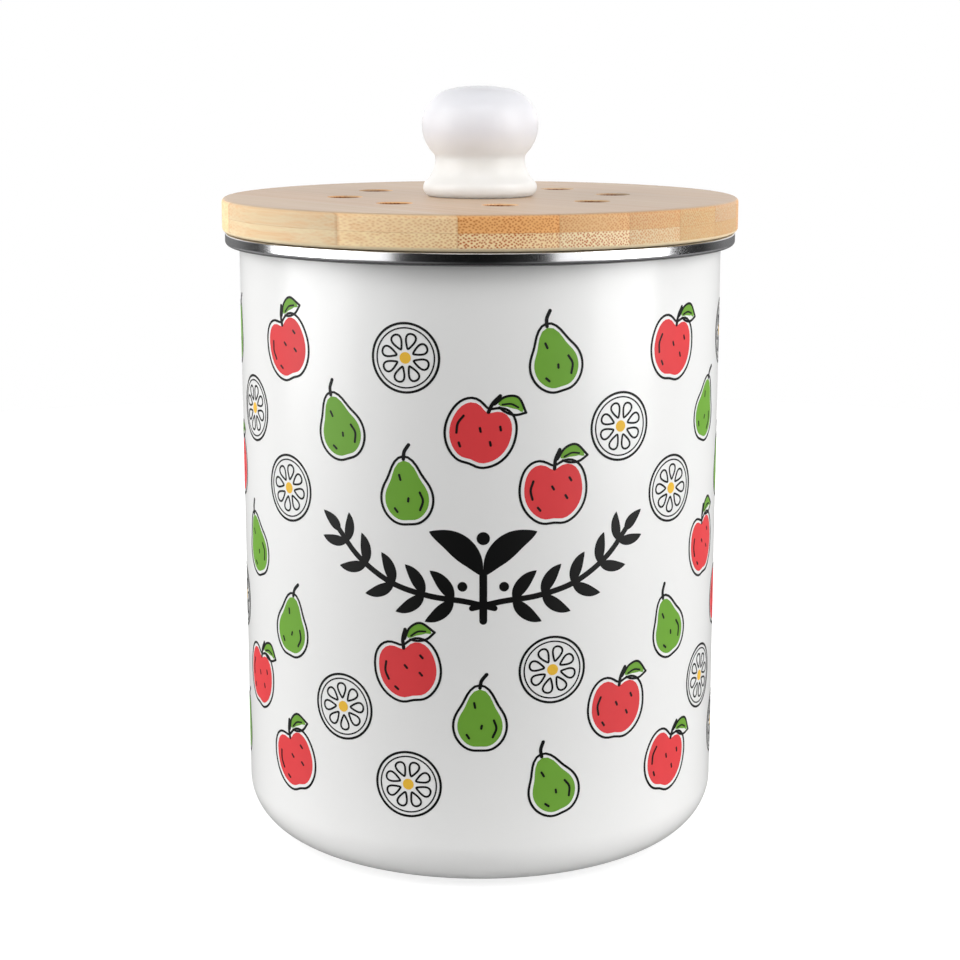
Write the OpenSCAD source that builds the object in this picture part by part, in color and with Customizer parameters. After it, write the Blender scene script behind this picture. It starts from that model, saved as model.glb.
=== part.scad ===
// Compost caddy: an enamelled steel canister with a rolled steel rim, closed by a
// lift-off bamboo lid. The lid carries a ceramic knob, a ring of vent holes, a plug
// ring with a seal, and a carbon filter pad held by three turning clips.
//
// Millimetres. The origin is the centre of the base, on the surface that the caddy
// stands on. +Z is up and -Y is the front.

/* [Canister] */
// Outside diameter of the canister's wall
canister_d = 160; // [140:1:200]
// Height of the open canister, to the top of its steel rim
canister_h = 202.7; // [140:0.1:260]
// Thickness of the enamelled sheet
wall_t = 1; // [0.8:0.1:1.4]
// Radius of the bend between wall and base
corner_r = 16; // [10:1:24]
// Height of the raised panel inside the foot ring
kick_up = 1.5; // [1:0.1:3]
// Width of the flat ring that the canister stands on
foot_w = 6; // [4:1:10]

/* [Rim] */
// How far the steel rim stands out beyond the wall
rim_over = 4.65; // [4:0.05:6]
// Height of the rim's upright face
rim_face_h = 2.7; // [2:0.1:5]
// Radius of the bend under that face
rim_edge_r = 1.4; // [0.8:0.1:2]
// Angle by which the rim's return to the wall faces down
rim_return = 63; // [45:1:70]
// Thickness of the rim's sheet
rim_t = 0.5; // [0.4:0.1:0.6]
// Radius of the flare between the wall and the flange under the rim
flare_r = 1.5; // [1:0.1:1.6]

/* [Lid] */
// How far the lid stands out beyond the rim
lid_over = 0.85; // [0:0.05:3]
// Thickness of each of the lid's two plies
ply_t = 5.5; // [5:0.1:8]
// Radius of the lid's rounded edges
lid_edge_r = 1.4; // [0.6:0.1:2]
// Air gap between the rim and the lid that rests on it
lid_gap = 0.3; // [0.3:0.1:1]
// Number of vent holes
vent_n = 8; // [4:1:10]
// Diameter of a vent hole
vent_d = 11; // [6:0.5:12]
// Diameter of the circle that the vent holes stand on
vent_pcd = 90; // [72:1:100]
// Turn of the first vent hole from the front
vent_phase = 8; // [0:1:44]

/* [Knob] */
// Height of the knob above the lid
knob_h = 36; // [34:0.5:40]
// Diameter of the knob's head
knob_d = 38.6; // [36:0.2:42]
// Diameter of the screw that holds the knob
knob_screw_d = 4; // [3:0.5:5]

/* [Plug and seal] */
// Depth of the plug ring under the lid
plug_h = 10; // [9:0.5:14]
// Width of the plug ring
plug_w = 11; // [10:0.5:14]
// Gap between the plug ring and the canister's wall
plug_gap = 1.8; // [1.5:0.1:3]
// Height of the seal's groove
seal_h = 4; // [3:0.5:4]
// Depth of the seal's groove
seal_in = 1.6; // [1:0.1:2]
// Gap between the seal's lip and the canister's wall
seal_gap = 0.3; // [0.3:0.1:1]

/* [Filter and clips] */
// Thickness of the carbon filter pad
filter_t = 9.5; // [6:0.1:9.7]
// Number of clips that hold the filter pad
clip_n = 3; // [3:1:3]
// Width of a clip
clip_w = 8; // [7:0.5:9]
// Reach of a clip from its pivot
clip_reach = 14; // [12:0.5:16]
// Thickness of a clip's plate
clip_t = 1.2; // [0.8:0.1:2]
// Diameter of the screw that a clip turns on
clip_screw_d = 4; // [3:0.5:4]

/* [Hidden] */

$fn = 96;
bend_steps = 12;        // steps along each bend of a turned section
fit_gap = 0.05;         // radial clearance of a part that turns or slides on another
part_gap = 0.3;         // gap between pieces that move past each other
bite = 0.4;             // how far a screw's thread bites into the piece it holds

canister_r = canister_d / 2;
mouth_r = canister_r - wall_t;
foot_r = canister_r - corner_r;
panel_r = foot_r - foot_w - 3 * kick_up;
flange_top = canister_h - rim_t;
flare_z = flange_top - wall_t - flare_r;
rim_r = canister_r + rim_over;
flange_r = rim_r - rim_t - 0.2;
rim_wrap = 130;         // angle at which the rim's sheet ends inside the mouth

lid_r = rim_r + lid_over;
lid_z = canister_h + lid_gap;
lid_top = lid_z + 2 * ply_t;
vent_chamfer = 0.4;

plug_r = mouth_r - plug_gap;
plug_in = plug_r - plug_w;
plug_z = lid_z - plug_h;
plug_chamfer = 1;
seal_r = mouth_r - seal_gap;
seal_z = flare_z - 0.4 - seal_h;

knob_foot_w = 2;        // width of the unglazed ring under the knob
knob_recess = 1.2;      // depth of the hollow inside that ring
insert_r = knob_screw_d / 2 + 1.6;
insert_len = 11;
insert_z = lid_top + knob_recess;
washer_r = knob_screw_d / 2 + 4;
washer_t = 0.8;
seat_depth = 3;         // depth of the counterbore for the knob's screw head
seat_r = washer_r + 0.5;
screw_head_h = 2.1;
knob_screw_z = lid_z + seat_depth - washer_t;
knob_screw_len = 20;

filter_r = plug_in - 0.5;
pivot_r = (plug_r + plug_in) / 2;
clip_z = plug_z - part_gap - clip_t;
clip_lip_h = 3;
clip_screw_r = clip_screw_d / 2;
clip_spacer_r = clip_screw_r + 1;
clip_screw_deep = 7;    // length of screw inside the plug ring

enamel = [0.97, 0.97, 0.96];
steel = [0.78, 0.79, 0.80];
bamboo = [0.88, 0.70, 0.47];
glaze = [0.95, 0.95, 0.94];
brass = [0.80, 0.64, 0.32];
silicone = [0.90, 0.90, 0.88];
carbon = [0.10, 0.10, 0.10];

// Points of an arc about a centre, from angle a to angle b
function arc(centre, r, a, b, steps = bend_steps) =
    [for (i = [0:steps]) centre + r * [cos(a + (b - a) * i / steps), sin(a + (b - a) * i / steps)]];

// Direction in which clip number i lies, seen from above
function clip_angle(i) = 90 + i * 360 / clip_n;

// One sheet from the raised base panel, round the foot and the corner, up the wall
// and out into the flange that the rim is rolled over
module canister_body() {
    corner = [foot_r, corner_r];
    flare = [canister_r + flare_r, flare_z];
    flange_mid = flange_top - wall_t / 2;
    outside = concat(
        [[0, kick_up], [panel_r, kick_up], [foot_r - foot_w, 0]],
        arc(corner, corner_r, -90, 0, 2 * bend_steps),
        arc(flare, flare_r, 180, 90),
        arc([flange_r - wall_t / 2, flange_mid], wall_t / 2, -90, 90));
    inside = concat(
        arc(flare, flare_r + wall_t, 90, 180),
        arc(corner, corner_r - wall_t, 0, -90, 2 * bend_steps),
        [[foot_r - foot_w, wall_t], [panel_r, kick_up + wall_t], [0, kick_up + wall_t]]);
    color(enamel)
        rotate_extrude($fn = 180)
            polygon(concat(outside, inside));
}

// Steel strip rolled over the flange: a short leg inside the mouth, the flat top,
// the upright outer face and the return that slopes back under to the wall
module rim_band() {
    bend = [rim_r - rim_edge_r, canister_h - rim_face_h];
    shoulder = [rim_r - rim_t, canister_h - rim_t];
    flare = [canister_r + flare_r, flare_z];
    wall_x = canister_r + fit_gap;
    down = [cos(rim_return), -sin(rim_return)];
    outer_end = bend + rim_edge_r * down;
    inner_end = outer_end - rim_t * down;
    slope = 1 / tan(rim_return);
    outside = concat(
        [[wall_x, outer_end.y - slope * (outer_end.x - wall_x)]],
        arc(bend, rim_edge_r, -rim_return, 0, 8),
        arc(shoulder, rim_t, 0, 90, 4),
        arc(flare, flare_r + wall_t + rim_t, 90, rim_wrap));
    inside = concat(
        arc(flare, flare_r + wall_t + fit_gap, rim_wrap, 90),
        [[flare.x, flange_top], [rim_r - rim_t, flange_top]],
        arc(bend, rim_edge_r - rim_t, 0, -rim_return, 8),
        [[wall_x, inner_end.y - slope * (inner_end.x - wall_x)]]);
    color(steel)
        rotate_extrude($fn = 180)
            polygon(concat(outside, inside));
}

// Leaves one copy of its children at each vent
module at_vents() {
    for (i = [0:vent_n - 1])
        rotate([0, 0, i * 360 / vent_n + vent_phase - 90])
            translate([vent_pcd / 2, 0, 0])
                children();
}

// Leaves one copy of its children at each clip's pivot
module at_clips() {
    for (i = [0:clip_n - 1])
        rotate([0, 0, clip_angle(i)])
            translate([pivot_r, 0, 0])
                children();
}

// Upper ply, with its rounded edge and the chamfered mouths of the vents
module lid_top_board() {
    z = lid_z + ply_t;
    color(bamboo)
        difference() {
            rotate_extrude($fn = 180)
                polygon(concat(
                    [[0, z], [lid_r, z]],
                    arc([lid_r - lid_edge_r, lid_top - lid_edge_r], lid_edge_r, 0, 90),
                    [[0, lid_top]]));
            translate([0, 0, z - 1])
                cylinder(h = ply_t + 2, r = knob_screw_d / 2 + part_gap);
            at_vents()
                translate([0, 0, z - 1])
                    cylinder(h = ply_t + 2, d = vent_d);
            at_vents()
                translate([0, 0, lid_top - vent_chamfer])
                    cylinder(h = 2 * vent_chamfer, r1 = vent_d / 2, r2 = vent_d / 2 + 2 * vent_chamfer);
        }
}

// Lower ply, with the counterbore for the knob's screw and washer
module lid_under_board() {
    color(bamboo)
        difference() {
            rotate_extrude($fn = 180)
                polygon(concat(
                    [[0, lid_z]],
                    arc([lid_r - lid_edge_r, lid_z + lid_edge_r], lid_edge_r, -90, 0),
                    [[lid_r, lid_z + ply_t], [0, lid_z + ply_t]]));
            translate([0, 0, lid_z - 1])
                cylinder(h = ply_t + 2, r = knob_screw_d / 2 + part_gap);
            translate([0, 0, lid_z - 1])
                cylinder(h = seat_depth + 1, r = seat_r);
            at_vents()
                translate([0, 0, lid_z - 1])
                    cylinder(h = ply_t + 2, d = vent_d);
        }
}

// Bamboo ring that centres the lid in the mouth, grooved for the seal and drilled
// with a pilot hole for each clip's screw
module plug_ring() {
    groove_top = seal_z + seal_h;
    color(bamboo)
        difference() {
            rotate_extrude($fn = 180)
                polygon([
                    [plug_in, plug_z], [plug_r - plug_chamfer, plug_z], [plug_r, plug_z + plug_chamfer],
                    [plug_r, seal_z], [plug_r - seal_in, seal_z],
                    [plug_r - seal_in, groove_top], [plug_r, groove_top],
                    [plug_r, lid_z], [plug_in, lid_z]]);
            at_clips()
                translate([0, 0, plug_z - 1])
                    cylinder(h = clip_screw_deep + 1.5, r = clip_screw_r - bite);
        }
}

// Silicone ring: a band in the groove and a rounded lip towards the wall
module seal_ring() {
    lip = seal_r - plug_r;
    mid = seal_z + seal_h / 2;
    lip_h = seal_h / 2 - part_gap;
    color(silicone)
        rotate_extrude($fn = 180)
            polygon(concat(
                [[plug_r - seal_in, seal_z], [plug_r, seal_z]],
                [for (a = [-90:15:90]) [plug_r + lip * cos(a), mid + lip_h * sin(a)]],
                [[plug_r, seal_z + seal_h], [plug_r - seal_in, seal_z + seal_h]]));
}

// Knob: a low crown, a round shoulder, a belly that draws in to the waist, and a
// foot that flares out from it to a rounded bead on the lid. Each arc touches the next.
module knob() {
    head_r = knob_d / 2;
    crown_r = 2.64 * head_r;
    shoulder_r = 0.62 * head_r;
    belly_r = 0.69 * head_r;
    waist_r = 0.772 * head_r;
    flare_r = 0.535 * head_r;
    bead_r = 0.15 * head_r;

    crown = [0, lid_top + knob_h - crown_r];
    shoulder_x = head_r - shoulder_r;
    shoulder_up = sqrt(pow(crown_r - shoulder_r, 2) - pow(shoulder_x, 2));
    shoulder = crown + [shoulder_x, shoulder_up];
    crown_end = atan2(shoulder_up, shoulder_x);

    belly = [head_r - belly_r, shoulder.y];
    waist_z = lid_top + 0.344 * knob_h;
    fall = belly.y - waist_z;
    reach = waist_r - belly.x;
    nape_r = (reach * reach + fall * fall - belly_r * belly_r) / (2 * (belly_r - reach));
    nape = [waist_r + nape_r, waist_z];
    belly_end = atan2(nape.y - belly.y, nape.x - belly.x);

    bead_z = lid_top + bead_r;
    flare = [waist_r + flare_r, waist_z];
    bead_x = flare.x - sqrt(pow(flare_r + bead_r, 2) - pow(waist_z - bead_z, 2));
    bead_end = atan2(waist_z - bead_z, flare.x - bead_x);

    bore_r = insert_r + fit_gap;
    bore_top = insert_z + insert_len + 0.5;
    outside = concat(
        arc([bead_x, bead_z], bead_r, -90, bead_end),
        arc(flare, flare_r, 180 + bead_end, 180),
        arc(nape, nape_r, 180, 180 + belly_end, 6),
        arc(belly, belly_r, belly_end, 0),
        arc(shoulder, shoulder_r, 0, crown_end),
        arc(crown, crown_r, crown_end, 90, 6));
    bore = [[0, bore_top], [bore_r, bore_top], [bore_r, insert_z]];
    recess = [[bead_x - knob_foot_w, insert_z], [bead_x - knob_foot_w, lid_top]];
    color(glaze)
        rotate_extrude($fn = 128)
            polygon(concat(outside, bore, recess));
}

// Threaded brass insert, grooved where the cement grips it
module knob_insert() {
    groove = 0.5;
    pitch = insert_len / 6;
    color(brass)
        difference() {
            translate([0, 0, insert_z])
                cylinder(h = insert_len, r = insert_r);
            for (i = [1:2:5])
                translate([0, 0, insert_z + i * pitch])
                    difference() {
                        cylinder(h = pitch / 2, r = insert_r + 1);
                        translate([0, 0, -1])
                            cylinder(h = pitch / 2 + 2, r = insert_r - groove);
                    }
            translate([0, 0, insert_z - 1])
                cylinder(h = insert_len + 2, r = knob_screw_d / 2 - bite);
        }
}

// Crossed recess of a screw head, cut upwards from its lowest face
module cross_recess(r) {
    slot_w = 0.9;
    slot_deep = 1.1;
    for (a = [0, 90])
        rotate([0, 0, a])
            translate([-0.55 * r, -slot_w / 2, -1])
                cube([1.1 * r, slot_w, slot_deep + 1]);
}

// Pan-head screw that stands on its head: the head's lowest face is at z = 0
module pan_screw(shank_r, head_r, head_h, length) {
    edge = 0.8;
    tip = 1;
    difference() {
        rotate_extrude($fn = 64)
            polygon(concat(
                [[0, 0]],
                arc([head_r - edge, edge], edge, -90, 0, 5),
                [[head_r, head_h], [shank_r, head_h],
                 [shank_r, head_h + length - tip], [shank_r - tip, head_h + length], [0, head_h + length]]));
        cross_recess(head_r);
    }
}

// Screw that draws the knob down onto the lid, with its head under the lid
module knob_screw() {
    color(steel)
        translate([0, 0, knob_screw_z - screw_head_h])
            pan_screw(knob_screw_d / 2, knob_screw_d / 2 + 2, screw_head_h, knob_screw_len);
}

// Plain washer in the lower ply's counterbore
module knob_washer() {
    color(steel)
        translate([0, 0, knob_screw_z])
            difference() {
                cylinder(h = washer_t, r = washer_r);
                translate([0, 0, -1])
                    cylinder(h = washer_t + 2, r = knob_screw_d / 2 + part_gap);
            }
}

// Round pad of carbon foam that fills the plug ring, against the lid
module filter_pad() {
    edge = 0.8;
    color(carbon)
        rotate_extrude($fn = 180)
            polygon(concat(
                [[0, lid_z - filter_t]],
                arc([filter_r - edge, lid_z - filter_t + edge], edge, -90, 0, 5),
                [[filter_r, lid_z], [0, lid_z]]));
}

// Turning clip: a flat plate with round ends that lies over the filter pad's edge,
// and a turned-down lip to push it by
module filter_clip(i) {
    color(steel)
        rotate([0, 0, clip_angle(i)])
            translate([pivot_r, 0, clip_z]) {
                difference() {
                    linear_extrude(height = clip_t) {
                        circle(d = clip_w);
                        translate([-clip_reach + clip_w / 2, 0])
                            circle(d = clip_w);
                        translate([-clip_reach + clip_w / 2, -clip_w / 2])
                            square([clip_reach - clip_w / 2, clip_w]);
                    }
                    translate([0, 0, -1])
                        cylinder(h = clip_t + 2, r = clip_spacer_r + fit_gap);
                }
                translate([-clip_reach + clip_w / 2, -clip_w / 4, -clip_lip_h])
                    cube([clip_t, clip_w / 2, clip_lip_h + clip_t / 2]);
            }
}

module filter_clip_1() {
    filter_clip(0);
}

module filter_clip_2() {
    filter_clip(1);
}

module filter_clip_3() {
    filter_clip(2);
}

// One screw through each clip, its thread in the plug ring
module clip_screws() {
    head_h = 2;
    below = part_gap + clip_t + part_gap;
    color(steel)
        at_clips()
            translate([0, 0, plug_z - below - head_h])
                pan_screw(clip_screw_r, clip_spacer_r + 1.6, head_h, below + clip_screw_deep);
}

// Bush round each screw that keeps the clip free to turn once the screw is tight
module clip_spacers() {
    tall = part_gap + clip_t + part_gap;
    color(brass)
        at_clips()
            translate([0, 0, plug_z - tall])
                difference() {
                    cylinder(h = tall, r = clip_spacer_r);
                    translate([0, 0, -1])
                        cylinder(h = tall + 2, r = clip_screw_r + fit_gap);
                }
}

canister_body();
rim_band();
lid_top_board();
lid_under_board();
plug_ring();
seal_ring();
knob();
knob_insert();
knob_screw();
knob_washer();
filter_pad();
filter_clip_1();
filter_clip_2();
filter_clip_3();
clip_screws();
clip_spacers();
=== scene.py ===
"""Dresses the packed compost caddy: enamel, print, rim, bamboo lid, knob, seal, filter and fittings."""

import math
from functools import partialmethod

import bpy
import numpy as np
from bpy.props import FloatProperty, FloatVectorProperty, IntProperty, PointerProperty
from bpy.types import Operator, Panel, PropertyGroup
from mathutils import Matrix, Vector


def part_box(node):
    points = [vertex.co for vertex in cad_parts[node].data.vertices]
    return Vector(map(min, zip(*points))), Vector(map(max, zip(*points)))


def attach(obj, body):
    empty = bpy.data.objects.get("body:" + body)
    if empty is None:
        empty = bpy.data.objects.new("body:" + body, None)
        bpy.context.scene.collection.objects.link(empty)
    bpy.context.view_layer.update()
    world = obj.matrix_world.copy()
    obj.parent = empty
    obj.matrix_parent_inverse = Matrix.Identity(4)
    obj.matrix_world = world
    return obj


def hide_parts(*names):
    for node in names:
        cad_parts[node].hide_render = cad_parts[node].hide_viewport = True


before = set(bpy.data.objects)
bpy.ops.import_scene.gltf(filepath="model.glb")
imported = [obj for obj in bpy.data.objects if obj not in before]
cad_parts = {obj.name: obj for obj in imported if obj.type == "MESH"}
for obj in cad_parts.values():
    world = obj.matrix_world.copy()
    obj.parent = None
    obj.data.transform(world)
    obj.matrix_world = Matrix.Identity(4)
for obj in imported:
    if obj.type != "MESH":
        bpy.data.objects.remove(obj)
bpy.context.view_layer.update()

bl_info = {
    "name": "Compost Caddy Dresser",
    "version": (1, 0, 0),
    "blender": (4, 5, 0),
    "location": "View3D > Sidebar > Caddy",
    "description": "Builds the pieces, finishes and studio of a compost caddy round its packed frame",
    "category": "Object",
}

MM = 0.001
ROUND = 256             # sides of a large turned piece
ROUND_PAD = 192         # sides of the filter pad
ROUND_SMALL = 144       # sides of the knob
ROUND_FLOOR = 96        # sides of the floor
FLOOR_RADIUS = 0.9
FLOOR_LEVEL = -0.0001   # just under the caddy's foot
SHARP = math.radians(32)    # angle from which an edge is drawn sharp
FIT = 0.05 * MM         # clearance between the rim and the canister's sheet
SUNK = 0.05 * MM        # how far the ink reaches into the wall
GARLAND_PLACE = (1.0, 109.0)    # right of the front and above the foot, in millimetres


# ---- sizes and colours


def length(name, description, default, low=0.0, high=1.0):
    """A length in metres, shown in the user's own unit."""
    return FloatProperty(name=name, description=description, default=default, min=low, max=high,
                         precision=5, unit="LENGTH")


def colour(name, description, red, green, blue):
    """A colour given by its screen values from 0 to 255, kept as linear light."""
    return FloatVectorProperty(name=name, description=description, subtype="COLOR", size=3,
                               min=0.0, max=1.0, default=linear(red, green, blue))


def number(name, description, default, low=0.0, **more):
    """A plain number."""
    return FloatProperty(name=name, description=description, default=default, min=low, **more)


def angle(name, description, degrees):
    """An angle, given in degrees and kept in radians."""
    return FloatProperty(name=name, description=description, default=math.radians(degrees), subtype="ANGLE")


def watts(name, description, default):
    """A lamp's power."""
    return FloatProperty(name=name, description=description, default=default, unit="POWER")


def linear(*screen):
    """Screen values from 0 to 255 as linear light: above the dark end ((s + 0.055) / 1.055) to the 2.4."""
    s = np.asarray(screen, float) / 255
    return tuple(np.where(s <= 0.04045, s / 12.92, ((s + 0.055) / 1.055) ** 2.4).tolist())


def top(node):
    """Height of a packed node's highest point."""
    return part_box(node)[1].z


def reach(node):
    """Largest distance of a packed turned node from the axis."""
    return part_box(node)[1].x


class CanisterSettings(PropertyGroup):
    """Sizes and colour of the enamelled canister."""
    wall_radius: length("Wall radius", "Outside radius of the wall", 0.080)
    wall: length("Wall thickness", "Thickness of the enamelled sheet", 0.001)
    corner: length("Corner radius", "Radius between wall and base", 0.016)
    kick_up: length("Raised base", "Rise of the panel inside the foot ring", 0.0015)
    foot: length("Foot ring", "Width of the ring it stands on", 0.006)
    flare: length("Flare radius", "Radius between wall and flange", 0.0015)
    flange: length("Flange radius", "Radius of the flange under the rim", reach("canister_body"))
    height: length("Flange height", "Height of the flange's upper face", top("canister_body"))
    enamel: colour("Enamel", "Colour of the fired enamel", 243, 243, 242)


class RimSettings(PropertyGroup):
    """Sizes and colour of the rolled steel rim."""
    radius: length("Rim radius", "Outside radius of the rim", reach("rim_band"))
    height: length("Rim height", "Height of the rim's top", top("rim_band"))
    sheet: length("Rim sheet", "Thickness of the rim's sheet", 0.0005)
    face: length("Upright face", "Height of the rim's upright face", 0.0027)
    bend: length("Bend radius", "Radius of the bend under that face", 0.0014)
    slope: angle("Return slope", "Angle by which the return faces down", 90)
    steel: colour("Rim steel", "Colour of the polished steel", 236, 236, 238)


class PrintSettings(PropertyGroup):
    """Sizes and colours of the print fired onto the wall."""
    columns: IntProperty(name="Columns", description="Columns of motifs round the wall",
                         default=22, min=6, max=30)
    lowest: length("Lowest row", "Height of the lowest row of motifs", 0.0355)
    rows: length("Row pitch", "Distance between two motifs of one column", 0.045)
    scale: number("Motif size", "Size of a motif against its drawing", 0.94, 0.2)
    line: length("Line width", "Width of the motifs' drawn lines", 0.0008)
    ink: length("Ink height", "How far the ink stands proud", 0.00004)
    red: colour("Red ink", "Colour of the fruit", 226, 66, 70)
    green: colour("Green ink", "Colour of the leaves and pears", 112, 166, 56)
    yellow: colour("Yellow ink", "Colour of the citrus hearts", 240, 190, 60)
    black: colour("Black ink", "Colour of the drawn lines", 8, 8, 8)


class LidSettings(PropertyGroup):
    """Sizes and colours of the bamboo lid."""
    radius: length("Lid radius", "Outside radius of the lid", reach("lid_top_board"))
    seams: FloatVectorProperty(name="Seams", description="Staves' edges across the grain",
                               size=10, unit="LENGTH",
                               default=(-0.1022, -0.0803, -0.0598, -0.0348, -0.0124,
                                        0.0084, 0.0284, 0.0500, 0.0720, 0.0950))
    grain: angle("Grain angle", "Turn of the grain from the front", 40)
    bundle: length("Fibre pitch", "Distance between two fibre bundles", 0.00082)
    fibre: colour("Fibre", "Colour of the fibre bundles", 192, 90, 6)
    # painted shade and sheen: the top face's colour is set darker and greyer than the staves'
    painted_top_shade: colour("Painted top shade", "Colour of the top face, painted darker and greyer as shade and sheen", 186, 161, 138)
    # painted highlight: a pale colour for the lower arris, which faces down into shade
    lower_arris_highlight: colour("Lower arris highlight", "Colour of the lower arris, a painted highlight", 254, 234, 196)
    joint: length("Glue joint", "Height of the joint between the plies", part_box("lid_under_board")[1].z)
    bore_wall_tone: colour("Bore wall", "Colour of the vents' walls", 112, 54, 20)


class KnobSettings(PropertyGroup):
    """Sizes and colour of the glazed knob."""
    head: length("Head radius", "Radius of the knob's head", reach("knob"))
    height: length("Knob height", "Height of the knob above the lid", top("knob") - top("lid_top_board"))
    glaze: colour("Glaze", "Colour of the glazed ceramic", 218, 218, 216)
    painted_crown_shade: colour("Crown shade", "Colour of the crown, painted darker as shade", 203, 203, 207)


class StudioSettings(PropertyGroup):
    """Place and strength of the studio's camera, lamps and floor."""
    distance: length("Camera distance", "Distance in front of the axis", 0.6988, 0.1, 5.0)
    level: length("Camera height", "Height of the camera above the floor", 0.2597, 0.0, 3.0)
    pitch: angle("Camera pitch", "Angle by which the camera looks down", 11.515)
    lens: number("Lens", "Focal length for a sensor 36 mm wide", 78.13, 10.0, max=300.0, unit="CAMERA")
    left: watts("Left lamp", "Power of the left softbox", 11.9)
    right: watts("Right lamp", "Power of the right softbox", 11.4)
    high: watts("High lamp", "Power of the high front lamp", 5.0)
    snoot: watts("Snoot", "Power of the narrow lamp on the knob", 10.5)
    ambient: number("Room", "Strength of the room's own light", 0.04)
    backdrop: number("Backdrop", "Its brightness in glossy surfaces", 1.0)
    floor: colour("Floor", "Colour of the floor", 250, 250, 250)


# ---- surfaces


def turns(sides):
    """Equal angles round a circle."""
    return np.linspace(0, 2 * np.pi, sides, endpoint=False)


def arc(centre, radius, start, stop, steps):
    """Points of an arc: centre + radius (cos a, sin a), for equal steps of a in degrees."""
    a = np.radians(np.linspace(start, stop, steps + 1))
    return np.asarray(centre, float) + radius * np.stack([np.cos(a), np.sin(a)], 1)


def ring_faces(rows, sides):
    """Quads between rings: (i, j), (i, j + 1), (i + 1, j + 1), (i + 1, j), with j taken round."""
    i, j = np.meshgrid(np.arange(rows - 1), np.arange(sides), indexing="ij")
    k = (j + 1) % sides
    quads = np.stack([i * sides + j, i * sides + k, (i + 1) * sides + k, (i + 1) * sides + j], -1)
    return quads.reshape(-1, 4)


def fan(pole, ring, sides, outward):
    """Triangles from a pole to each pair of neighbours on a ring, marked by a last corner of -1."""
    j = np.arange(sides)
    a, b = ring + j, ring + (j + 1) % sides
    if not outward:
        a, b = b, a
    return np.stack([np.full(sides, pole), a, b, np.full(sides, -1)], -1)


def revolve(section, sides):
    """Turns a section round the Z axis: its point (r, z) goes to (r cos a, r sin a, z) at equal angles a. It
    runs anticlockwise, the solid on its left. One that starts and ends on the axis gets a pole at each end;
    any other is a loop."""
    section = np.asarray(section, float)
    poles = section[0, 0] < 1e-9 and section[-1, 0] < 1e-9
    body = section[1:-1] if poles else section
    a = turns(sides)
    r, z = body[:, :1], np.repeat(body[:, 1:], sides, 1)
    points = np.stack([r * np.cos(a), r * np.sin(a), z], -1).reshape(-1, 3)
    faces = ring_faces(len(body), sides)
    last = (len(body) - 1) * sides
    if poles:
        ends = np.array([[0, 0, section[0, 1]], [0, 0, section[-1, 1]]])
        caps = [fan(len(points), 0, sides, False), fan(len(points) + 1, last, sides, True)]
        return np.concatenate([points, ends]), np.concatenate([faces, *caps])
    j = np.arange(sides)
    k = (j + 1) % sides
    return points, np.concatenate([faces, np.stack([last + j, last + k, k, j], -1)])


def placed(name, data):
    """A new object in the scene."""
    made = bpy.data.objects.new(name, data)
    bpy.context.scene.collection.objects.link(made)
    return made


def piece(name, shape, finish, body, replaced=()):
    """An object of points and faces, a triangle's last corner being -1, its body and what it replaces."""
    points, faces = shape
    triangles = faces[:, 3] < 0
    ordered = np.concatenate([faces[~triangles], faces[triangles]])
    sizes = np.where(ordered[:, 3] < 0, 3, 4)
    corners = ordered[ordered >= 0]
    mesh = bpy.data.meshes.new(name)
    mesh.vertices.add(len(points))
    mesh.loops.add(len(corners))
    mesh.polygons.add(len(sizes))
    mesh.vertices.foreach_set("co", points.astype(np.float32).ravel())
    mesh.loops.foreach_set("vertex_index", corners.astype(np.int32))
    mesh.polygons.foreach_set("loop_start", (np.cumsum(sizes) - sizes).astype(np.int32))
    mesh.update(calc_edges=True)
    mesh.polygons.foreach_set("use_smooth", np.ones(len(sizes), bool))
    mesh.set_sharp_from_angle(angle=SHARP)
    mesh.materials.append(finish)
    if mesh.validate():
        raise RuntimeError(f"{name} has faces that Blender had to mend")
    made = placed(name, mesh)
    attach(made, body)
    if replaced:
        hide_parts(*replaced)
    return made


def refinish(finish, *nodes):
    """Gives packed nodes another finish in all of their slots."""
    for node in nodes:
        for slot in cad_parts[node].material_slots:
            slot.material = finish


# ---- flat sheets of ink: each is its points and its faces, anticlockwise from above


def border(faces):
    """The edges that only one face has, that face being on their left."""
    rounds = [faces[faces[:, 3] >= 0], faces[faces[:, 3] < 0, :3]]
    edges = np.concatenate([np.stack([f, np.roll(f, -1, 1)], -1).reshape(-1, 2) for f in rounds])
    key = edges.min(1) * (edges.max() + 1) + edges.max(1)
    _, first, count = np.unique(key, return_index=True, return_counts=True)
    return edges[first[count == 1]]


def flipped(faces):
    """The same faces, seen from their other side."""
    return np.where(faces[:, 3:] < 0, faces[:, [0, 2, 1, 3]], faces[:, ::-1])


def curve(knots, steps=6):
    """A smooth path through its knots: between two, the cubic whose slope at each is half the step between
    the knots beside it."""
    p = np.asarray(knots, float)
    p = np.concatenate([[2 * p[0] - p[1]], p, [2 * p[-1] - p[-2]]])
    t = np.linspace(0, 1, steps, endpoint=False)[None, :, None]
    a, b, c, d = (p[i:len(p) - 3 + i, None, :] for i in range(4))
    path = 0.5 * (2 * b + (c - a) * t + (2 * a - 5 * b + 4 * c - d) * t ** 2
                  + (3 * b - a - 3 * c + d) * t ** 3)
    return np.concatenate([path.reshape(-1, 2), p[-2:-1]])


def headings(path, closed=False):
    """Unit directions along a path: the step from the point before to the point after."""
    if closed:
        step = np.roll(path, -1, 0) - np.roll(path, 1, 0)
    else:
        step = np.gradient(path, axis=0)
    return step / np.linalg.norm(step, axis=1, keepdims=True)


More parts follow.
